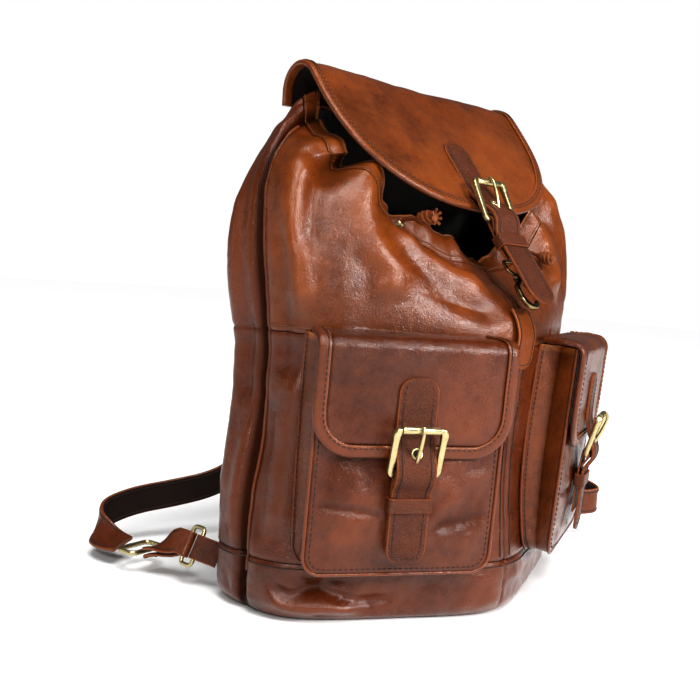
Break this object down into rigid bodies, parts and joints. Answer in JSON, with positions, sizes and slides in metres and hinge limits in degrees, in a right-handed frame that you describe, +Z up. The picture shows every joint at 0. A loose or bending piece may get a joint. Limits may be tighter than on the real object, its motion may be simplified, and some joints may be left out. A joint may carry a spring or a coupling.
{
  "type": "leather backpack",
  "caption": "Leather drawstring backpack with buckled main flap, bellows pockets on an angled front, grab handle and shoulder straps with base rings",
  "frame": {"origin": "the middle of the base panel's flat underside, on the floor, where the plane between the left and right halves meets the middle of the side seams", "axes": "+Z points up, -Y points out of the front that carries the pockets, +X points to the wearer's right pocket side as seen from the front"},
  "size_m": [0.4832, 0.3275, 0.4027],
  "materials": {
    "tan_leather": "glossy tan pull-up leather, pale mottled highlights, raw orange edges",
    "russet_leather": "glossy red-brown pull-up leather, fine creases",
    "strap_leather": "dark brown pebbled leather, dark stitching along both edges",
    "cord_leather": "rolled tan leather cord and wrapped ends",
    "dark_lining": "dark woven cloth",
    "antique_brass": "pale antique brass, cast and tumbled",
    "dark_brass": "darkened brass",
    "steel": "plain nickel-plated steel"
  },
  "bodies": {
    "bag": {"base_panel": "russet_leather", "back_panel": "russet_leather", "front_lower_left": "russet_leather", "front_lower_right": "russet_leather", "front_upper_left": "tan_leather", "front_upper_right": "tan_leather", "collar": "tan_leather", "lining": "dark_lining", "clip_tab": "tan_leather", "drawcord": "cord_leather", "drawcord_knot_left": "cord_leather", "drawcord_toggle_right": "cord_leather", "drawcord_eyelet_left": "antique_brass", "drawcord_eyelet_right": "antique_brass", "pocket_front_left": "russet_leather", "pocket_front_right": "russet_leather", "pocket_gusset_left": "russet_leather", "pocket_gusset_right": "russet_leather", "magnet_socket_left": "steel", "magnet_socket_right": "steel", "strap_yoke": "strap_leather", "strap_root_left": "russet_leather", "strap_root_right": "russet_leather", "base_tab_left": "strap_leather", "base_tab_right": "strap_leather"},
    "main_flap_body": {"main_flap": "tan_leather", "main_billet": "strap_leather", "main_chape": "strap_leather", "main_keeper": "strap_leather"},
    "main_buckle": {"main_buckle_frame": "antique_brass"},
    "main_prong_body": {"main_prong": "antique_brass"},
    "main_roller_body": {"main_roller": "antique_brass"},
    "clip_eye_body": {"clip_eye": "dark_brass"},
    "clip_hook_body": {"clip_hook": "dark_brass"},
    "clip_gate_body": {"clip_gate": "dark_brass"},
    "pocket_left_flap_body": {"pocket_left_flap": "russet_leather", "pocket_left_billet": "strap_leather", "pocket_left_chape": "strap_leather", "pocket_left_keeper": "strap_leather", "magnet_stud_left": "steel"},
    "pocket_left_buckle": {"pocket_left_buckle_frame": "antique_brass"},
    "pocket_left_prong_body": {"pocket_left_prong": "antique_brass"},
    "pocket_left_roller_body": {"pocket_left_roller": "antique_brass"},
    "strap_left": {"shoulder_strap_left": "russet_leather", "strap_adjuster_left": "antique_brass", "lower_strap_left": "russet_leather", "base_ring_left": "antique_brass"},
    "pocket_right_flap_body": {"pocket_right_flap": "russet_leather", "pocket_right_billet": "strap_leather", "pocket_right_chape": "strap_leather", "pocket_right_keeper": "strap_leather", "magnet_stud_right": "steel"},
    "pocket_right_buckle": {"pocket_right_buckle_frame": "antique_brass"},
    "pocket_right_prong_body": {"pocket_right_prong": "antique_brass"},
    "pocket_right_roller_body": {"pocket_right_roller": "antique_brass"},
    "strap_right": {"shoulder_strap_right": "russet_leather", "strap_adjuster_right": "antique_brass", "lower_strap_right": "russet_leather", "base_ring_right": "antique_brass"},
    "handle": {"grab_handle": "russet_leather"}
  },
  "joints": [
    {"name": "main_flap_hinge", "type": "hinge", "parent": "bag", "child": "main_flap_body", "pos_m": [0, 0.067, 0.372], "axis": [-1, 0, 0], "range_deg": [0, 118]},
    {"name": "main_buckle_hinge", "type": "hinge", "parent": "main_flap_body", "child": "main_buckle", "pos_m": [0, -0.06091, 0.2968], "axis": [1, 0, 0], "range_deg": [0, 3]},
    {"name": "main_prong_hinge", "type": "hinge", "parent": "main_buckle", "child": "main_prong_body", "pos_m": [0, -0.06091, 0.2968], "axis": [1, 0, 0], "range_deg": [0, 2]},
    {"name": "main_roller_spin", "type": "hinge", "parent": "main_buckle", "child": "main_roller_body", "pos_m": [0, -0.04521, 0.32583], "axis": [1, 0, 0], "continuous": true},
    {"name": "clip_swing", "type": "hinge", "parent": "main_flap_body", "child": "clip_eye_body", "pos_m": [0, -0.07167, 0.26657], "axis": [1, 0, 0], "range_deg": [-5, 8]},
    {"name": "clip_swivel", "type": "hinge", "parent": "clip_eye_body", "child": "clip_hook_body", "pos_m": [0, -0.08055, 0.25614], "axis": [0, -0.6481, -0.7615], "range_deg": [-20, 20]},
    {"name": "clip_gate_hinge", "type": "hinge", "parent": "clip_hook_body", "child": "clip_gate_body", "pos_m": [0.0035, -0.08463, 0.25134], "axis": [0, -0.7615, 0.6481], "range_deg": [0, 18], "stiffness_Nm_per_rad": 0.004},
    {"name": "pocket_left_flap_hinge", "type": "hinge", "parent": "bag", "child": "pocket_left_flap_body", "pos_m": [-0.09186, -0.059, 0.20962], "axis": [-0.9018, 0.4321, 0], "range_deg": [0, 85]},
    {"name": "pocket_left_buckle_hinge", "type": "hinge", "parent": "pocket_left_flap_body", "child": "pocket_left_buckle", "pos_m": [-0.1062, -0.08895, 0.11688], "axis": [0.9018, -0.4321, 0], "range_deg": [0, 3]},
    {"name": "pocket_left_prong_hinge", "type": "hinge", "parent": "pocket_left_buckle", "child": "pocket_left_prong_body", "pos_m": [-0.1062, -0.08895, 0.11688], "axis": [0.9018, -0.4321, 0], "range_deg": [0, 2]},
    {"name": "pocket_left_roller_spin", "type": "hinge", "parent": "pocket_left_buckle", "child": "pocket_left_roller_body", "pos_m": [-0.10985, -0.09655, 0.14879], "axis": [0.9018, -0.4321, 0], "continuous": true},
    {"name": "pocket_right_flap_hinge", "type": "hinge", "parent": "bag", "child": "pocket_right_flap_body", "pos_m": [0.09186, -0.059, 0.20962], "axis": [-0.9018, -0.4321, 0], "range_deg": [0, 85]},
    {"name": "pocket_right_buckle_hinge", "type": "hinge", "parent": "pocket_right_flap_body", "child": "pocket_right_buckle", "pos_m": [0.1062, -0.08895, 0.11688], "axis": [0.9018, 0.4321, 0], "range_deg": [0, 3]},
    {"name": "pocket_right_prong_hinge", "type": "hinge", "parent": "pocket_right_buckle", "child": "pocket_right_prong_body", "pos_m": [0.1062, -0.08895, 0.11688], "axis": [0.9018, 0.4321, 0], "range_deg": [0, 2]},
    {"name": "pocket_right_roller_spin", "type": "hinge", "parent": "pocket_right_buckle", "child": "pocket_right_roller_body", "pos_m": [0.10985, -0.09655, 0.14879], "axis": [0.9018, 0.4321, 0], "continuous": true},
    {"name": "strap_left_swing", "type": "hinge", "parent": "bag", "child": "strap_left", "pos_m": [-0.158, 0.079, 0.03], "axis": [0.4385, 0.0383, 0.8979], "range_deg": [0, 40]},
    {"name": "strap_right_swing", "type": "hinge", "parent": "bag", "child": "strap_right", "pos_m": [0.158, 0.079, 0.03], "axis": [0.4385, -0.0383, -0.8979], "range_deg": [-10, 20]},
    {"name": "handle_hinge", "type": "hinge", "parent": "bag", "child": "handle", "pos_m": [0, 0.0722, 0.356], "axis": [1, 0, 0], "range_deg": [0, 30]}
  ]
}
